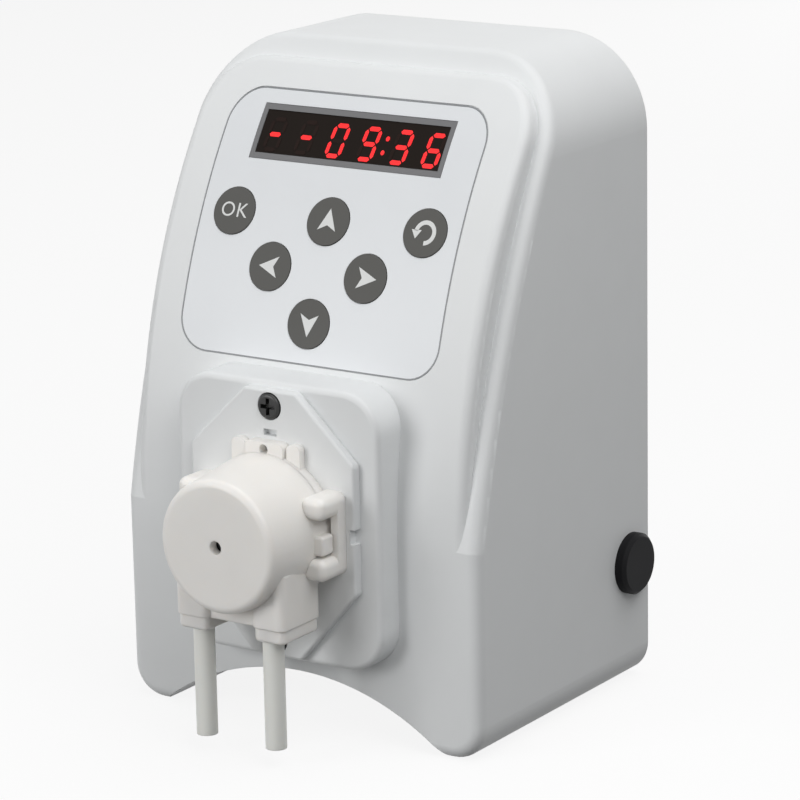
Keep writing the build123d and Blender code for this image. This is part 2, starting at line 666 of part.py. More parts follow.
def gearbox():
    """Round gearbox whose flange takes the base plate's screws."""
    y_front = PLINTH_FACE_Y + WALL
    ear_height = 2 * (PLATE_SCREW_OFFSET + FLANGE_END)
    ear = Pos(0, PUMP_AXIS_Z) * RectangleRounded(2 * FLANGE_HALF_WIDTH, ear_height, 2)
    solid = slab(ear, y_front, y_front + FLANGE_THICKNESS)
    solid += rod(0, PUMP_AXIS_Z, GEARBOX_R, y_front, y_front + GEARBOX_LENGTH)
    for side in (-1, 1):
        solid -= rod(0, PUMP_AXIS_Z + side * PLATE_SCREW_OFFSET, M3_R + SCREW_FIT, y_front - 1, 0)
    y_floor = y_front + GEARBOX_LENGTH - GEARBOX_FLOOR
    return solid - rod(0, PUMP_AXIS_Z, SHAFT_R + RUNNING_FIT, y_front - 1, y_floor)


def motor_can():
    y_front = PLINTH_FACE_Y + WALL + GEARBOX_LENGTH
    solid = rod(0, PUMP_AXIS_Z, MOTOR_R, y_front, y_front + MOTOR_LENGTH)
    solid = fillet(solid.faces().sort_by(Axis.Y)[-1].edges(), MOTOR_EDGE_R)
    y_back = y_front + MOTOR_LENGTH
    return solid + rod(0, PUMP_AXIS_Z, MOTOR_BOSS_R, y_back, y_back + MOTOR_BOSS)


def motor_terminals():
    y_back = PLINTH_FACE_Y + WALL + GEARBOX_LENGTH + MOTOR_LENGTH
    tab = Rectangle(MOTOR_TAB_THICKNESS, MOTOR_TAB_WIDTH)
    spots = [Pos(side * MOTOR_TAB_OFFSET, PUMP_AXIS_Z) for side in (-1, 1)]
    return Compound(children=[slab(spot * tab, y_back, y_back + MOTOR_TAB_LENGTH) for spot in spots])


def drive_shaft():
    y_back = PLINTH_FACE_Y + WALL + GEARBOX_LENGTH - GEARBOX_FLOOR - END_FLOAT
    return rod(0, PUMP_AXIS_Z, SHAFT_R, TUBE_Y - ROLLER_LENGTH / 2, y_back)


# --- Pump head -----------------------------------------------------------------------------------
def head_lug(y_front):
    """Lug over the base: a pierced centre block between two ears."""
    height = LUG_REACH - LUG_ROOT
    z = PUMP_AXIS_Z + (LUG_REACH + LUG_ROOT) / 2
    block = Pos(0, z) * RectangleRounded(2 * LUG_BLOCK_HALF, height, LUG_BLOCK_ROUND)
    solid = slab(block, y_front, PLATE_FACE_Y)
    for side in (-1, 1):
        x = side * (LUG_BLOCK_HALF + LUG_SLIT + LUG_EAR_WIDTH / 2)
        ear = Pos(x, z) * RectangleRounded(LUG_EAR_WIDTH, height, LUG_EAR_ROUND)
        solid += slab(ear, y_front + LUG_EAR_SET, PLATE_FACE_Y)
    return solid - rod(0, PUMP_AXIS_Z + LUG_HOLE_OFFSET, LUG_HOLE_R, y_front - 1, PLATE_FACE_Y + 1)


def side_clip(side):
    """Two ears and the strap that joins them behind the drum's nub."""
    middle_z = PUMP_AXIS_Z + CLIP_OFFSET
    x = side * (CLIP_ROOT + CLIP_OUTER) / 2
    width = CLIP_OUTER - CLIP_ROOT
    strap_x = side * (CLIP_OUTER - STRAP_WIDTH / 2)
    strap = Pos(strap_x, middle_z) * Rectangle(STRAP_WIDTH, 2 * CLIP_EAR_PITCH)
    solid = slab(strap, PLATE_FACE_Y - STRAP_DEPTH, PLATE_FACE_Y)
    for end in (-1, 1):
        ear_z = middle_z + end * CLIP_EAR_PITCH
        outline = Pos(x, ear_z) * RectangleRounded(width, CLIP_EAR_HEIGHT, CLIP_EAR_ROUND)
        ear = slab(outline, PLATE_FACE_Y - CLIP_DEPTH, PLATE_FACE_Y)
        solid += fillet(ear.faces().sort_by(Axis.Y)[0].edges(), CLIP_EAR_ROUND * 0.9)
    return solid


def head_base():
    """Rear half of the head: a round foot with a clip at each side and a lug on top."""
    y_front = PLATE_FACE_Y - HEAD_BASE_THICKNESS
    solid = rod(0, PUMP_AXIS_Z, DRUM_REAR_R, y_front, PLATE_FACE_Y) + head_lug(y_front)
    for side in (-1, 1):
        solid += side_clip(side)
    drum_room = taper(
        0, PUMP_AXIS_Z, DRUM_FRONT_R + CLIP_FIT, DRUM_REAR_R + CLIP_FIT, DRUM_FACE_Y, y_front
    )
    nozzle_room = Pos(0, (NOZZLE_BOTTOM_Z + PUMP_AXIS_Z) / 2) * Rectangle(
        2 * (NOZZLE_OUTER + CLIP_FIT), PUMP_AXIS_Z - NOZZLE_BOTTOM_Z
    )
    solid -= drum_room + slab(nozzle_room, DRUM_FACE_Y, y_front)
    return solid - rod(0, PUMP_AXIS_Z, SHAFT_R + RUNNING_FIT, y_front - 1, PLATE_FACE_Y + 1)


def nozzle(side, y_back):
    """Block round one end of the tube, with a slightly narrower tip."""
    y_front = TUBE_Y - NOZZLE_FRONT
    depth = y_back - y_front
    width = NOZZLE_OUTER - NOZZLE_INNER
    x = side * (NOZZLE_INNER + NOZZLE_OUTER) / 2
    y = (y_front + y_back) / 2
    shoulder = NOZZLE_BOTTOM_Z + NOZZLE_TIP
    body = Plane((x, y, shoulder)) * extrude(
        RectangleRounded(width, depth, NOZZLE_EDGE_R), amount=PUMP_AXIS_Z - shoulder - NOZZLE_TOP_DROP
    )
    tip_outline = RectangleRounded(
        width - 2 * NOZZLE_STEP, depth - 2 * NOZZLE_STEP, NOZZLE_EDGE_R - NOZZLE_STEP
    )
    tip = Plane((x, y, NOZZLE_BOTTOM_Z)) * extrude(tip_outline, amount=2 * NOZZLE_TIP)
    tip = fillet(tip.faces().sort_by(Axis.Z)[0].edges(), NOZZLE_TIP_ROUND)
    body = fillet(body.faces().sort_by(Axis.Z)[0].edges(), NOZZLE_STEP * 0.9)
    return body + tip


def clip_nub(side):
    """Catch on the drum's side, between the clip's ears."""
    x = side * (TRACK_R + NUB_OUTER) / 2
    outline = Pos(x, PUMP_AXIS_Z + NUB_OFFSET) * RectangleRounded(
        NUB_OUTER - TRACK_R, NUB_HEIGHT, NUB_ROUND
    )
    nub = slab(outline, PLATE_FACE_Y - NUB_FRONT, PLATE_FACE_Y - NUB_BACK)
    return fillet(nub.faces().sort_by(Axis.Y)[0].edges(), NUB_ROUND * 0.9)


def drum_cover():
    """Front half of the head: tapered drum with the two tube nozzles under it."""
    y_back = PLATE_FACE_Y - HEAD_BASE_THICKNESS
    cone = taper(0, PUMP_AXIS_Z, DRUM_FRONT_R, DRUM_REAR_R, DRUM_FACE_Y, y_back)
    cone = fillet(cone.faces().sort_by(Axis.Y)[0].edges(), DRUM_RIM_R)
    solid = cone + nozzle(-1, y_back) + nozzle(1, y_back)
    shoulder = NOZZLE_BOTTOM_Z + NOZZLE_TIP
    bridge = Pos(0, (shoulder + PUMP_AXIS_Z) / 2) * Rectangle(
        2 * NOZZLE_INNER + 2 * NOZZLE_EDGE_R, PUMP_AXIS_Z - shoulder
    )
    solid += slab(bridge, TUBE_Y - BRIDGE_FRONT, y_back)
    solid -= rod(0, PUMP_AXIS_Z, TRACK_R, DRUM_FACE_Y + DRUM_WALL, y_back + 1)
    for side in (-1, 1):
        channel_top = PUMP_AXIS_Z
        channel_bottom = PUMP_AXIS_Z - TUBE_EASE - TUBE_EASE_ROOM
        middle = side * (TUBE_SPACING - TUBE_R - TUBE_CLEARANCE + TRACK_R) / 2
        width = TRACK_R - (TUBE_SPACING - TUBE_R - TUBE_CLEARANCE)
        channel_z = (channel_top + channel_bottom) / 2
        channel = Pos(middle, channel_z) * Rectangle(width, channel_top - channel_bottom)
        reach = TUBE_PRESSED_REACH + TUBE_CLEARANCE
        solid -= slab(channel, TUBE_Y - reach, TUBE_Y + reach)
        hole = Plane((side * TUBE_SPACING, TUBE_Y, NOZZLE_BOTTOM_Z - 1)) * extrude(
            Circle(TUBE_R + RUNNING_FIT), amount=channel_bottom - NOZZLE_BOTTOM_Z + 2
        )
        solid -= hole
        solid += clip_nub(side) - rod(0, PUMP_AXIS_Z, DRUM_FRONT_R - 1, DRUM_FACE_Y, y_back)
    return solid - rod(0, PUMP_AXIS_Z, DRUM_HOLE_R, DRUM_FACE_Y - 1, DRUM_FACE_Y + DRUM_WALL + 1)


def tube_core(shrink):
    """Solid core of the pump tube: two round tails that ease into a pressed loop over the rotor."""
    half = TUBE_PRESSED_HALF - shrink
    reach = TUBE_PRESSED_REACH - shrink
    ease_z = PUMP_AXIS_Z - TUBE_EASE
    core = None
    for side in (-1, 1):
        low = Plane((side * TUBE_SPACING, TUBE_Y, TUBE_END_Z))
        ease = Plane((side * TUBE_SPACING, TUBE_Y, ease_z))
        top = Plane((side * TUBE_LOOP_R, TUBE_Y, PUMP_AXIS_Z))
        tail = low * extrude(Circle(TUBE_R - shrink), amount=ease_z - TUBE_END_Z)
        joint = loft([ease * Circle(TUBE_R - shrink), top * Ellipse(half, reach)])
        core = tail + joint if core is None else core + tail + joint
    section = Plane((TUBE_LOOP_R, TUBE_Y, PUMP_AXIS_Z)) * Ellipse(half, reach)
    loop = revolve(section, axis=Axis((0, TUBE_Y, PUMP_AXIS_Z), (0, -1, 0)), revolution_arc=180)
    return core + loop


def pump_tube():
    return tube_core(0) - tube_core(TUBE_R - TUBE_BORE_R)


def roller_spot(index):
    angle = radians(90 + index * 360 / ROLLER_COUNT)
    return ROLLER_ORBIT_R * cos(angle), PUMP_AXIS_Z + ROLLER_ORBIT_R * sin(angle)


def roller_carrier():
    """Hub and rear flange; the front flange is a separate cap."""
    inner = ROLLER_LENGTH / 2 + END_FLOAT / 2
    flange_r = ROLLER_ORBIT_R + ROLLER_PIN_R + 1
    solid = rod(0, PUMP_AXIS_Z, flange_r, TUBE_Y + inner, TUBE_Y + inner + CARRIER_FLANGE)
    solid += rod(0, PUMP_AXIS_Z, CARRIER_HUB_R, TUBE_Y - inner, TUBE_Y + inner)
    return carrier_holes(solid)


def carrier_holes(solid):
    solid -= rod(0, PUMP_AXIS_Z, SHAFT_R + RUNNING_FIT, DRUM_FACE_Y, PLATE_FACE_Y)
    for index in range(ROLLER_COUNT):
        solid -= rod(*roller_spot(index), ROLLER_PIN_R, DRUM_FACE_Y, PLATE_FACE_Y)
    return solid


def carrier_cap():
    inner = ROLLER_LENGTH / 2 + END_FLOAT / 2
    flange_r = ROLLER_ORBIT_R + ROLLER_PIN_R + 1
    return carrier_holes(
        rod(0, PUMP_AXIS_Z, flange_r, TUBE_Y - inner - CARRIER_FLANGE, TUBE_Y - inner)
    )


def roller_pins():
    outer = ROLLER_LENGTH / 2 + END_FLOAT / 2 + CARRIER_FLANGE
    return Compound(
        children=[
            rod(*roller_spot(index), ROLLER_PIN_R, TUBE_Y - outer, TUBE_Y + outer)
            for index in range(ROLLER_COUNT)
        ]
    )


def roller(index):
    x, z = roller_spot(index)
    half = ROLLER_LENGTH / 2
    solid = rod(x, z, ROLLER_R, TUBE_Y - half, TUBE_Y + half)
    solid = fillet(solid.edges(), ROLLER_EDGE_R)
    return solid - rod(x, z, ROLLER_PIN_R + RUNNING_FIT, TUBE_Y - half - 1, TUBE_Y + half + 1)


# --- Side plug -----------------------------------------------------------------------------------
def side_plug():
    """Round rubber plug that closes the side port."""
    plane = Plane((HOUSING_WIDTH / 2, PLUG_Y, PLUG_Z), x_dir=(0, 1, 0), z_dir=(1, 0, 0))
    head = extrude(Circle(PLUG_R), amount=PLUG_HEAD)
    head = chamfer(head.faces().sort_by(Axis.Z)[-1].edges(), PLUG_CHAMFER)
    stem = extrude(Circle(PLUG_STEM_R), amount=-(WALL + 2))
    return plane * (head + stem)


# --- Write the parts -----------------------------------------------------------------------------
NODES = {
    "front_housing": front_housing,
    "rear_cover": rear_cover,
    "rear_cover_screws": rear_cover_screws,
    "power_jack": power_jack,
    "power_jack_nut": power_jack_nut,
    "panel_overlay": panel_overlay,
    "display_frame": display_frame,
    "display_window": display_window,
    "led_display": led_display,
    "control_board": control_board,
    "board_screws": board_screws,
    "tactile_switches": tactile_switches,
    "backup_cell": backup_cell,
    "driver_parts": driver_parts,
    "pump_base_plate": pump_base_plate,
    "base_plate_screws": base_plate_screws,
    "gearbox": gearbox,
    "motor_can": motor_can,
    "motor_terminals": motor_terminals,
    "drive_shaft": drive_shaft,
    "head_base": head_base,
    "drum_cover": drum_cover,
    "pump_tube": pump_tube,
    "roller_carrier": roller_carrier,
    "carrier_cap": carrier_cap,
    "roller_pins": roller_pins,
    "side_plug": side_plug,
}

os.makedirs("parts", exist_ok=True)
for name, build in NODES.items():
    export_step(build(), f"parts/{name}.step")
for name, (x, z) in KEYS.items():
    export_step(key(x, z), f"parts/{name}.step")
for index in range(ROLLER_COUNT):
    export_step(roller(index), f"parts/roller_{index + 1}.step")
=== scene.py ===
import json
import math

import bmesh
import bpy
from mathutils import Matrix, Vector


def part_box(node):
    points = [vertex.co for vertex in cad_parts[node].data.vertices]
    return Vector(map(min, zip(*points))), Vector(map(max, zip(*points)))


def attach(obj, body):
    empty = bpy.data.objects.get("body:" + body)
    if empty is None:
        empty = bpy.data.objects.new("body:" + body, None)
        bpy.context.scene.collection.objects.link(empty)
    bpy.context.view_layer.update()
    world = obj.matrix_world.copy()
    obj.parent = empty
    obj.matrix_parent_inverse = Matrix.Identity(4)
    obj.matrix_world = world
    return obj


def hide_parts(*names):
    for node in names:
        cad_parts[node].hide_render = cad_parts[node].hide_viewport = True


MM = 0.001

# --- Sizes shared with the frame, in millimetres --------------------------------------------------
FRONT_Y = -38.2
BEND_HEIGHT = 50.0             # the panel bends backwards above this
PANEL_R = 157.0
PUMP_AXIS_Z = 52.6

OVERLAY_HALF_WIDTH = 36.3
OVERLAY_BOTTOM = 87.3
OVERLAY_TOP = 145.8
OVERLAY_CORNER_R = 8.0

WINDOW_BOTTOM = 130.6
WINDOW_TOP = 142.5
WINDOW_SINK = 0.2

KEY_PROUD = 0.15
KEY_HEIGHTS = {
    "key_confirm": 119.0,
    "key_up": 119.0,
    "key_back": 119.0,
    "key_left": 107.9,
    "key_right": 107.9,
    "key_down": 96.5,
}

PLATE_SCREW_OFFSET = 28.0      # from the pump's axis
COVER_SCREW_X = 43.6
COVER_SCREW_ZS = (43.7, 122.0)

# --- Printed and lit detail -----------------------------------------------------------------------
PRINT_THICKNESS = 0.03

DIGITS_SHOWN = "--0936"
COLON_AFTER = 4                # digits to the left of the colon
DIGIT_PITCH = 8.9
DIGIT_HEIGHT = 7.4
DIGIT_WIDTH = 4.6
DIGIT_SLANT = 0.10             # sideways shift per unit of height
DIGIT_LIFT = 0.06              # above the window's face
DIGITS_SHIFT = 0.7             # of the row, to the right
DIGITS_DROP = 0.5              # of the row, below the window's middle
SEGMENT_WIDTH = 0.95
SEGMENT_GAP = 0.22
COLON_DOT_R = 0.55 * SEGMENT_WIDTH
COLON_HALF_SPREAD = DIGIT_HEIGHT / 5
DOT_SIDES = 16

SIGN_LIFT = 0.01               # above the key's face
ARROW_R = 3.1                  # from the arrowhead's middle to its tip
ARROW_BARB = 0.82              # its other corners, as shares of ARROW_R
ARROW_TAIL = 0.72
ARROW_NOTCH = 0.30
RETURN_R = 2.45
RETURN_HALF_WIDTH = 0.52
RETURN_START = math.radians(-85)
RETURN_END = math.radians(172)
RETURN_STEPS = 30
RETURN_HEAD = ((-1.25, 0.55), (0.10, -1.55), (1.45, 0.55))    # from the ring's leftmost point
FONT_SIZE = 5.0
LETTER_SPACING = 1.12

BORDER_WIDTH = 0.3
BORDER_THICKNESS = 0.015
BORDER_CORNER_STEPS = 10
BORDER_SIDE_STEPS = 16         # along each side, so that it follows the panel's bend

RECESS_LENGTH = 4.0            # of a screw's cross
RECESS_WIDTH = 1.0
RECESS_DEPTH = 1.5

# --- Camera: target, turn, rise and roll ----------------------------------------------------------
CAMERA_TARGET = (4.813, -1.2, 72.258)
CAMERA_DISTANCE = 883.64
CAMERA_TURN = math.radians(33.98)
CAMERA_RISE = math.radians(14.52)
CAMERA_ROLL = math.radians(-1.10)
SENSOR = 36.0
FOCAL_LENGTH = 166.96

# --- Studio ---------------------------------------------------------------------------------------
FLOOR_HALF = 4000.0
FLOOR_PALE = 0.9
FLOOR_BOUNCE = 0.10            # share of its light the floor gives back to the object
FLOOR_GLOW = 0.88              # share of the floor's look that isn't its shading
WORLD_STRENGTH = 0.15
LAMP_AIM = (0, 0, 80)
LAMPS = (                      # name, place, side of its square, watts
    ("key_lamp", (-600, -1150, 450), 700, 7.8),
    ("fill_lamp", (450, -300, 520), 380, 1.45),
    ("back_lamp", (-100, 1150, 250), 700, 3.0),
    ("top_lamp", (250, 100, 1050), 900, 5.2),
)


# --- Materials ------------------------------------------------------------------------------------
NOISE_DETAIL = 3.0
MOTTLE_PER_MM = 0.06


def noise_node(tree, coords, per_mm):
    """Noise with about per_mm grains to the millimetre."""
    noise = tree.nodes.new("ShaderNodeTexNoise")
    noise.inputs["Scale"].default_value = per_mm / MM
    noise.inputs["Detail"].default_value = NOISE_DETAIL
    tree.links.new(coords.outputs["Object"], noise.inputs["Vector"])
    return noise


def finish_material(name, colour, roughness, grain=2.0, grain_depth=0.01, mottle=0.03,
                    spread=0.06, edge=0.25, stretch=None, **constants):
    """Principled finish with grain in its bump and slow changes in its colour and roughness.

    grain is grains to the millimetre, grain_depth and edge are millimetres, mottle and spread are
    shares of the colour and the roughness. stretch draws the grain out along an axis."""
    material = bpy.data.materials.new(name)
    material.use_nodes = True
    tree = material.node_tree
    shader = tree.nodes["Principled BSDF"]
    coords = tree.nodes.new("ShaderNodeTexCoord")
    slow = noise_node(tree, coords, MOTTLE_PER_MM)

    mix = tree.nodes.new("ShaderNodeMix")
    mix.data_type = "RGBA"
    mix.inputs[6].default_value = (*[c * (1 - mottle) for c in colour], 1)
    mix.inputs[7].default_value = (*[min(1.0, c * (1 + mottle)) for c in colour], 1)
    tree.links.new(slow.outputs["Fac"], mix.inputs[0])
    tree.links.new(mix.outputs[2], shader.inputs["Base Color"])

    rough = tree.nodes.new("ShaderNodeMapRange")
    rough.inputs["To Min"].default_value = max(0.02, roughness - spread)
    rough.inputs["To Max"].default_value = min(1.0, roughness + spread)
    tree.links.new(slow.outputs["Fac"], rough.inputs["Value"])
    tree.links.new(rough.outputs["Result"], shader.inputs["Roughness"])

    bevel = tree.nodes.new("ShaderNodeBevel")
    bevel.inputs["Radius"].default_value = edge * MM
    fine = noise_node(tree, coords, grain)
    if stretch:
        mapping = tree.nodes.new("ShaderNodeMapping")
        mapping.inputs["Scale"].default_value = stretch
        tree.links.new(coords.outputs["Object"], mapping.inputs["Vector"])
        tree.links.new(mapping.outputs["Vector"], fine.inputs["Vector"])
    bump = tree.nodes.new("ShaderNodeBump")
    bump.inputs["Distance"].default_value = grain_depth * MM
    bump.inputs["Strength"].default_value = 1.0
    tree.links.new(fine.outputs["Fac"], bump.inputs["Height"])
    tree.links.new(bevel.outputs["Normal"], bump.inputs["Normal"])
    tree.links.new(bump.outputs["Normal"], shader.inputs["Normal"])

    for socket, value in constants.items():
        shader.inputs[socket.replace("_", " ")].default_value = value
    return material


def glow_material(name, colour, strength):
    material = finish_material(name, colour, 0.4, grain_depth=0.002)
    shader = material.node_tree.nodes["Principled BSDF"]
    shader.inputs["Emission Color"].default_value = (*colour, 1)
    shader.inputs["Emission Strength"].default_value = strength
    return material


def make_materials():
    """One finish for each material slot of the record."""
    soft = {"Subsurface_Weight": 0.35, "Subsurface_Radius": (1.0, 0.9, 0.8)}
    finishes = {
        "housing_white": ((0.80, 0.815, 0.82), 0.45, 2.2, 0.010, {"Specular_IOR_Level": 0.3}),
        "cover_white": ((0.79, 0.805, 0.81), 0.48, 2.2, 0.012, {"Specular_IOR_Level": 0.3}),
        "overlay_film": ((0.76, 0.78, 0.80), 0.38, 5.0, 0.004, {"edge": 0.1}),
        "frame_grey": ((0.16, 0.16, 0.165), 0.40, 4.0, 0.003, {"edge": 0.1}),
        "window_smoke": (
            (0.016, 0.012, 0.010), 0.30, 1.0, 0.001, {"edge": 0.1, "Specular_IOR_Level": 0.05}
        ),
        "led_module": ((0.25, 0.02, 0.02), 0.30, 2.0, 0.010, {}),
        "circuit_board": ((0.02, 0.15, 0.06), 0.35, 2.0, 0.010, {}),
        "terminal_green": ((0.06, 0.26, 0.10), 0.50, 2.0, 0.010, {}),
        "black_plastic": ((0.02, 0.02, 0.02), 0.45, 3.0, 0.008, {}),
        "black_screw": ((0.012, 0.012, 0.012), 0.32, 6.0, 0.004, {"edge": 0.12}),
        "steel_screw": ((0.58, 0.58, 0.59), 0.34, 4.0, 0.004, {"Metallic": 1.0}),
        "steel_shaft": (
            (0.62, 0.62, 0.63), 0.28, 5.0, 0.004, {"stretch": (1, 0.05, 1), "Metallic": 1.0}
        ),
        "plate_white": ((0.80, 0.815, 0.82), 0.38, 2.5, 0.007, {"Specular_IOR_Level": 0.35}),
        "gearbox_metal": ((0.50, 0.50, 0.51), 0.40, 2.0, 0.010, {"Metallic": 1.0}),
        "motor_metal": ((0.42, 0.42, 0.43), 0.36, 2.0, 0.010, {"Metallic": 1.0}),
        "brass_terminal": ((0.72, 0.52, 0.20), 0.35, 2.0, 0.010, {"Metallic": 1.0}),
        "head_nylon": (
            (0.93, 0.90, 0.86), 0.40, 1.6, 0.012, {"edge": 0.4, "Subsurface_Scale": 0.004, **soft}
        ),
        "tube_silicone": (
            (0.96, 0.96, 0.89), 0.34, 1.2, 0.006, {"edge": 0.15, "Subsurface_Scale": 0.003, **soft}
        ),
        "rotor_plastic": ((0.02, 0.02, 0.022), 0.50, 2.0, 0.010, {}),
        "roller_plastic": ((0.82, 0.82, 0.80), 0.40, 2.0, 0.010, {}),
        "black_rubber": ((0.008, 0.008, 0.009), 0.60, 3.0, 0.012, {"Specular_IOR_Level": 0.12}),
        "key_grey": (
            (0.095, 0.094, 0.088), 0.55, 5.0, 0.005, {"edge": 0.08, "Specular_IOR_Level": 0.25}
        ),
    }
    return {
        slot: finish_material(slot, colour, roughness, grain, grain_depth, **rest)
        for slot, (colour, roughness, grain, grain_depth, rest) in finishes.items()
    }


# --- Mesh helpers ---------------------------------------------------------------------------------
def link_object(name, data):
    made = bpy.data.objects.new(name, data)
    bpy.context.scene.collection.objects.link(made)
    return made


def mesh_piece(name, vertices, faces, material):
    """Mesh from points in millimetres."""
    mesh = bpy.data.meshes.new(name)
    mesh.from_pydata([tuple(c * MM for c in vertex) for vertex in vertices], [], faces)
    mesh.validate()
    mesh.materials.append(material)
    return link_object(name, mesh)


def panel_lean(z):
    return math.asin((z - BEND_HEIGHT) / PANEL_R)


def panel_point(x, z, lift):
    """Point over the curved panel. A negative lift lies below its surface."""
    lean = panel_lean(z)
    y = FRONT_Y + PANEL_R * (1 - math.cos(lean))
    return (x, y - lift * math.cos(lean), z + lift * math.sin(lean))


def key_matrix(key):
    """Flat frame on a key's face: local x is +X, local y runs up the panel, local z points out."""
    low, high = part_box(key)
    x = (low.x + high.x) / 2 / MM
    z = KEY_HEIGHTS[key]
    lean = panel_lean(z)
    out = Vector((0, -math.cos(lean), math.sin(lean)))
    right = Vector((1, 0, 0))
    matrix = Matrix((right, out.cross(right), out)).transposed().to_4x4()
    matrix.translation = Vector(panel_point(x, z, KEY_PROUD + SIGN_LIFT))
    return matrix


def join_prisms(outlines, thickness):
    """Closed prisms over flat outlines: their points and faces."""
    points = []
    faces = []
    for outline in outlines:
        first, count = len(points), len(outline)
        points += [(x, y, height) for height in (0.0, thickness) for x, y in outline]
        faces.append(tuple(reversed(range(first, first + count))))
        faces.append(tuple(range(first + count, first + 2 * count)))
        for index in range(count):
            a, b = first + index, first + (index + 1) % count
            faces.append((a, b, b + count, a + count))
    return points, faces


# --- Display --------------------------------------------------------------------------------------
SEGMENTS_LIT = {
    "0": "abcdef", "1": "bc", "2": "abdeg", "3": "abcdg", "4": "bcfg",
    "5": "acdfg", "6": "acdefg", "7": "abc", "8": "abcdefg", "9": "abcdfg", "-": "g",
}


def segment_outline(name):
    """Six-sided bar of one segment, about the digit's middle."""
    half_w = DIGIT_WIDTH / 2 - SEGMENT_WIDTH / 2
    half_h = DIGIT_HEIGHT / 2 - SEGMENT_WIDTH / 2
    start, end = {
        "a": ((-half_w, half_h), (half_w, half_h)),
        "b": ((half_w, 0), (half_w, half_h)),
        "c": ((half_w, -half_h), (half_w, 0)),
        "d": ((-half_w, -half_h), (half_w, -half_h)),
        "e": ((-half_w, -half_h), (-half_w, 0)),
        "f": ((-half_w, 0), (-half_w, half_h)),
        "g": ((-half_w, 0), (half_w, 0)),
    }[name]
    start, end = Vector(start), Vector(end)
    along = (end - start).normalized()
    across = Vector((-along.y, along.x)) * SEGMENT_WIDTH / 2
    start += along * SEGMENT_GAP
    end -= along * SEGMENT_GAP
    shoulder = along * SEGMENT_WIDTH / 2
    near, far = start + shoulder, end - shoulder
    corners = [start, near - across, far - across, end, far + across, near + across]
    return [(corner.x + corner.y * DIGIT_SLANT, corner.y) for corner in corners]


def dot_outline(x, z, radius):
    angles = [2 * math.pi * step / DOT_SIDES for step in range(DOT_SIDES)]
    middle_x = x + z * DIGIT_SLANT
    return [(middle_x + radius * math.cos(a), z + radius * math.sin(a)) for a in angles]


def display_outlines():
    """Outlines of the lit and the unlit parts, about the middle of the row."""
    lit = []
    unlit = []
    count = len(DIGITS_SHOWN)
    for index, sign in enumerate(DIGITS_SHOWN):
        shift = (index - (count - 1) / 2) * DIGIT_PITCH
        for name in "abcdefg":
            outline = [(x + shift, y) for x, y in segment_outline(name)]
            (lit if name in SEGMENTS_LIT[sign] else unlit).append(outline)
    colon_x = (COLON_AFTER - count / 2) * DIGIT_PITCH
    for height in (-COLON_HALF_SPREAD, COLON_HALF_SPREAD):
        lit.append(dot_outline(colon_x, height, COLON_DOT_R))
    return lit, unlit


def on_window(outlines, name, material):
    row_z = (WINDOW_BOTTOM + WINDOW_TOP) / 2 - DIGITS_DROP
    points, faces = join_prisms(outlines, PRINT_THICKNESS)
    placed = [
        panel_point(x + DIGITS_SHIFT, row_z + y, height + DIGIT_LIFT - WINDOW_SINK)
        for x, y, height in points
    ]
    piece = mesh_piece(name, placed, faces, material)
    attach(piece, "housing")


# --- Keys' signs ----------------------------------------------------------------------------------
def arrow_outline(turn):
    """Notched arrowhead. A turn of 0 points up, and turns run counter-clockwise."""
    barb, tail, notch = ARROW_R * ARROW_BARB, -ARROW_R * ARROW_TAIL, -ARROW_R * ARROW_NOTCH
    corners = [(0, ARROW_R), (-barb, tail), (0, notch), (barb, tail)]
    c, s = math.cos(turn), math.sin(turn)
    return [(x * c - y * s, x * s + y * c) for x, y in corners]


def return_outlines():
    """Open ring that turns counter-clockwise and ends in an arrowhead."""
    span = RETURN_END - RETURN_START
    angles = [RETURN_START + span * step / RETURN_STEPS for step in range(RETURN_STEPS + 1)]
    outer, inner = RETURN_R + RETURN_HALF_WIDTH, RETURN_R - RETURN_HALF_WIDTH
    ring = [(outer * math.cos(a), outer * math.sin(a)) for a in angles]
    ring += [(inner * math.cos(a), inner * math.sin(a)) for a in reversed(angles)]
    head = [(x - RETURN_R, y) for x, y in RETURN_HEAD]
    return [ring, head]


def key_sign(key, outlines, material):
    points, faces = join_prisms(outlines, PRINT_THICKNESS)
    matrix = key_matrix(key)
    placed = [matrix @ Vector(point) for point in points]
    piece = mesh_piece(f"{key}_sign", placed, faces, material)
    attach(piece, key)


def key_letters(key, text, material):
    curve = bpy.data.curves.new(f"{key}_letters", "FONT")
    curve.body = text
    curve.size = FONT_SIZE
    curve.align_x = "CENTER"
    curve.align_y = "CENTER"
    curve.extrude = PRINT_THICKNESS / 2
    curve.space_character = LETTER_SPACING
    font = link_object(f"{key}_letters", curve)
    bpy.context.view_layer.update()
    evaluated = font.evaluated_get(bpy.context.evaluated_depsgraph_get())
    mesh = bpy.data.meshes.new_from_object(evaluated)
    bpy.data.objects.remove(font)
    mesh.transform(key_matrix(key))
    mesh.transform(Matrix.Scale(MM, 4))
    mesh.materials.clear()
    mesh.materials.append(material)
    piece = link_object(f"{key}_sign", mesh)
    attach(piece, key)


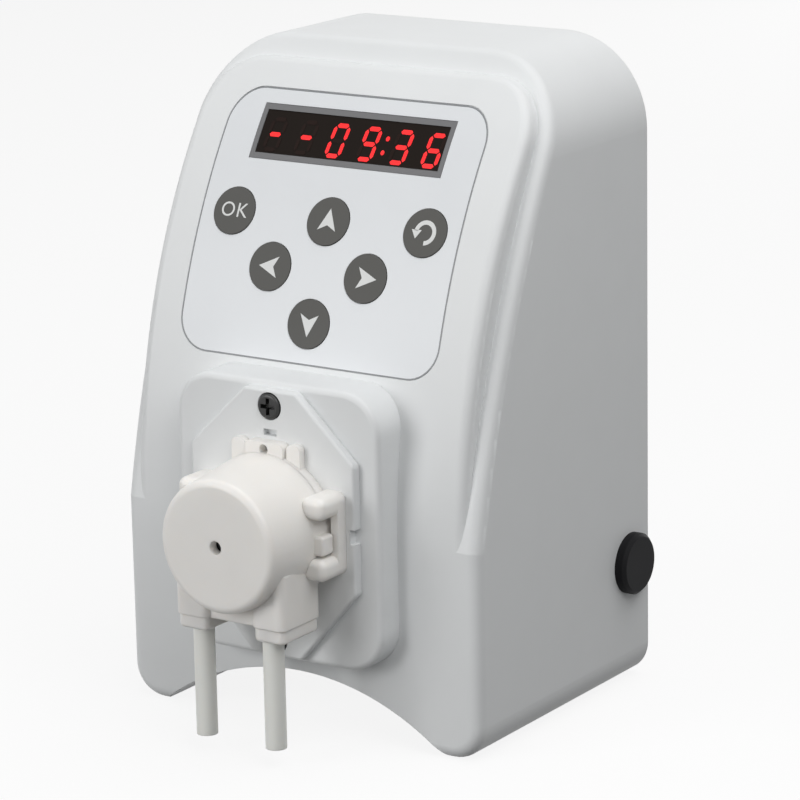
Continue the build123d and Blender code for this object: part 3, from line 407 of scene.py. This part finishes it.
# --- Overlay's printed border ---------------------------------------------------------------------
def border_points(inset):
    """Ring of points inside the overlay's rounded outline."""
    half = OVERLAY_HALF_WIDTH - inset
    radius = OVERLAY_CORNER_R - inset
    low, high = OVERLAY_BOTTOM + inset, OVERLAY_TOP - inset
    centres = [
        (half - radius, high - radius),
        (radius - half, high - radius),
        (radius - half, low + radius),
        (half - radius, low + radius),
    ]
    points = []
    for index, (x, z) in enumerate(centres):
        for step in range(BORDER_CORNER_STEPS + 1):
            angle = math.radians(90 * index + 90 * step / BORDER_CORNER_STEPS)
            points.append((x + radius * math.cos(angle), z + radius * math.sin(angle)))
        start_x, start_z = points[-1]
        after_x, after_z = centres[(index + 1) % 4]
        for step in range(1, BORDER_SIDE_STEPS):
            share = step / BORDER_SIDE_STEPS
            points.append((start_x + (after_x - x) * share, start_z + (after_z - z) * share))
    return points


def overlay_border(material):
    rings = (border_points(0.0), border_points(BORDER_WIDTH))
    count = len(rings[0])
    vertices = [
        panel_point(x, z, lift)
        for lift in (0.0, BORDER_THICKNESS)
        for ring in rings
        for x, z in ring
    ]
    faces = []
    for index in range(count):
        after = (index + 1) % count
        for near, far in ((0, 1), (3, 2), (1, 3), (2, 0)):
            a, b = near * count, far * count
            faces.append((a + index, a + after, b + after, b + index))
    piece = mesh_piece("overlay_border", vertices, faces, material)
    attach(piece, "housing")


# --- Screws with their cross recess ---------------------------------------------------------------
def cross_cutter(spots, face_y):
    """Crosses that reach RECESS_DEPTH into heads whose faces lie at face_y, in metres."""
    shape = bmesh.new()
    for x, z in spots:
        for size_x, size_z in ((RECESS_LENGTH, RECESS_WIDTH), (RECESS_WIDTH, RECESS_LENGTH)):
            place = Matrix.Translation((x * MM, face_y, z * MM))
            size = Matrix.Diagonal((size_x * MM, 2 * RECESS_DEPTH * MM, size_z * MM, 1))
            bmesh.ops.create_cube(shape, size=1, matrix=place @ size)
    mesh = bpy.data.meshes.new("recess")
    shape.to_mesh(mesh)
    shape.free()
    return link_object("recess", mesh)


def recessed_screws(node, spots, side, slot):
    """A node's screws with a cross cut into each head. side is -1 for heads that face -Y."""
    piece = link_object(f"{node}_recessed", frame["nodes"][node].data.copy())
    face_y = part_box(node)[0 if side < 0 else 1].y
    cutter = cross_cutter(spots, face_y)
    cut = piece.modifiers.new("recess", "BOOLEAN")
    cut.object = cutter
    cut.operation = "DIFFERENCE"
    cut.solver = "EXACT"
    cut.use_self = True
    bpy.context.view_layer.update()
    evaluated = piece.evaluated_get(bpy.context.evaluated_depsgraph_get())
    result = bpy.data.meshes.new_from_object(evaluated)
    piece.modifiers.clear()
    piece.data = result
    bpy.data.objects.remove(cutter)
    piece.data.materials.clear()
    piece.data.materials.append(materials[slot])
    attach(piece, "housing")
    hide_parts(node)


# --- Studio pieces --------------------------------------------------------------------------------
def seen_share(tree):
    """1 for the rays that show the background, 0 for those that light the object."""
    path = tree.nodes.new("ShaderNodeLightPath")
    total = path.outputs["Is Camera Ray"]
    for name in ("Is Glossy Ray", "Is Transmission Ray"):
        either = tree.nodes.new("ShaderNodeMath")
        either.operation = "MAXIMUM"
        tree.links.new(total, either.inputs[0])
        tree.links.new(path.outputs[name], either.inputs[1])
        total = either.outputs["Value"]
    return total


def studio_floor():
    """Pale floor that keeps a soft shadow, and gives the object only a little of its light back."""
    material = bpy.data.materials.new("studio_floor")
    material.use_nodes = True
    tree = material.node_tree
    dim = tree.nodes["Principled BSDF"]
    dim.inputs["Base Color"].default_value = (FLOOR_BOUNCE, FLOOR_BOUNCE, FLOOR_BOUNCE, 1)
    dim.inputs["Roughness"].default_value = 0.9
    pale = tree.nodes.new("ShaderNodeBsdfDiffuse")
    pale.inputs["Color"].default_value = (FLOOR_PALE, FLOOR_PALE, FLOOR_PALE, 1)
    glow = tree.nodes.new("ShaderNodeEmission")
    shown = tree.nodes.new("ShaderNodeMixShader")
    shown.inputs["Fac"].default_value = FLOOR_GLOW
    tree.links.new(pale.outputs["BSDF"], shown.inputs[1])
    tree.links.new(glow.outputs["Emission"], shown.inputs[2])
    mix = tree.nodes.new("ShaderNodeMixShader")
    tree.links.new(seen_share(tree), mix.inputs["Fac"])
    tree.links.new(dim.outputs["BSDF"], mix.inputs[1])
    tree.links.new(shown.outputs["Shader"], mix.inputs[2])
    tree.links.new(mix.outputs["Shader"], tree.nodes["Material Output"].inputs["Surface"])
    signs = ((-1, -1), (1, -1), (1, 1), (-1, 1))
    corners = [(x * FLOOR_HALF, y * FLOOR_HALF, 0) for x, y in signs]
    mesh_piece("floor", corners, [(0, 1, 2, 3)], material)


def studio_world():
    world = bpy.data.worlds.new("studio")
    bpy.context.scene.world = world
    world.use_nodes = True
    tree = world.node_tree
    light = tree.nodes["Background"]
    light.inputs["Color"].default_value = (1.0, 1.0, 1.0, 1)
    light.inputs["Strength"].default_value = WORLD_STRENGTH
    white = tree.nodes.new("ShaderNodeBackground")
    white.inputs["Color"].default_value = (1.0, 1.0, 1.0, 1)
    mix = tree.nodes.new("ShaderNodeMixShader")
    tree.links.new(seen_share(tree), mix.inputs["Fac"])
    tree.links.new(light.outputs["Background"], mix.inputs[1])
    tree.links.new(white.outputs["Background"], mix.inputs[2])
    tree.links.new(mix.outputs["Shader"], tree.nodes["World Output"].inputs["Surface"])


def soft_lamp(name, place, size, watts):
    """Square area lamp that faces LAMP_AIM. Places and sizes are millimetres."""
    data = bpy.data.lights.new(name, "AREA")
    data.size = size * MM
    data.energy = watts
    lamp = link_object(name, data)
    lamp.location = Vector(place) * MM
    lamp.rotation_euler = (Vector(LAMP_AIM) - Vector(place)).to_track_quat("-Z", "Y").to_euler()


def studio_camera():
    back = Vector((
        math.sin(CAMERA_TURN) * math.cos(CAMERA_RISE),
        -math.cos(CAMERA_TURN) * math.cos(CAMERA_RISE),
        math.sin(CAMERA_RISE),
    ))
    level = Vector((math.cos(CAMERA_TURN), math.sin(CAMERA_TURN), 0))
    upright = back.cross(level)
    right = level * math.cos(CAMERA_ROLL) + upright * math.sin(CAMERA_ROLL)
    up = upright * math.cos(CAMERA_ROLL) - level * math.sin(CAMERA_ROLL)
    data = bpy.data.cameras.new("camera")
    data.sensor_width = SENSOR
    data.sensor_fit = "HORIZONTAL"
    data.lens = FOCAL_LENGTH
    data.clip_start = 0.01
    camera = link_object("camera", data)
    matrix = Matrix((right, up, back)).transposed().to_4x4()
    matrix.translation = (Vector(CAMERA_TARGET) + back * CAMERA_DISTANCE) * MM
    camera.matrix_world = matrix
    bpy.context.scene.camera = camera


# --- Build ----------------------------------------------------------------------------------------
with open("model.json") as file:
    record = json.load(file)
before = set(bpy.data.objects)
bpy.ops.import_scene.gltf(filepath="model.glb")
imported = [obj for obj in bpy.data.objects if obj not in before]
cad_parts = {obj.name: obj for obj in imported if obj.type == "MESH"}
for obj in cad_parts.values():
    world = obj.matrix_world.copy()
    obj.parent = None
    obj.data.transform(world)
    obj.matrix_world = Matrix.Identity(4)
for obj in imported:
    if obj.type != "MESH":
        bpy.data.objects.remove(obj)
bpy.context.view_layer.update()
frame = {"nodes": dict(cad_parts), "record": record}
materials = make_materials()
for row in frame["record"]["subparts"]:
    node = frame["nodes"][row["node"]]
    node.data.materials.clear()
    node.data.materials.append(materials[row["material_slot"]])

lit, unlit = display_outlines()
lit_red = glow_material("digits_lit", (0.75, 0.010, 0.012), 0.80)
unlit_red = finish_material("digits_unlit", (0.021, 0.013, 0.011), 0.4, Specular_IOR_Level=0.05)
on_window(lit, "digits_lit", lit_red)
on_window(unlit, "digits_unlit", unlit_red)

sign_white = finish_material("sign_white", (0.72, 0.73, 0.72), 0.45, 5.0, 0.004, edge=0.05)
key_letters("key_confirm", "OK", sign_white)
for key, turn in (("key_up", 0), ("key_left", 90), ("key_down", 180), ("key_right", -90)):
    key_sign(key, [arrow_outline(math.radians(turn))], sign_white)
key_sign("key_back", return_outlines(), sign_white)

border_grey = finish_material("border_grey", (0.24, 0.25, 0.26), 0.45, 5.0, 0.003, edge=0.05)
overlay_border(border_grey)

plate_spots = [(0, PUMP_AXIS_Z + side * PLATE_SCREW_OFFSET) for side in (-1, 1)]
cover_spots = [(side * COVER_SCREW_X, z) for side in (-1, 1) for z in COVER_SCREW_ZS]
recessed_screws("base_plate_screws", plate_spots, -1, "black_screw")
recessed_screws("rear_cover_screws", cover_spots, 1, "steel_screw")

studio_floor()
studio_world()
for lamp in LAMPS:
    soft_lamp(*lamp)
studio_camera()
bpy.context.scene.view_settings.view_transform = "Standard"
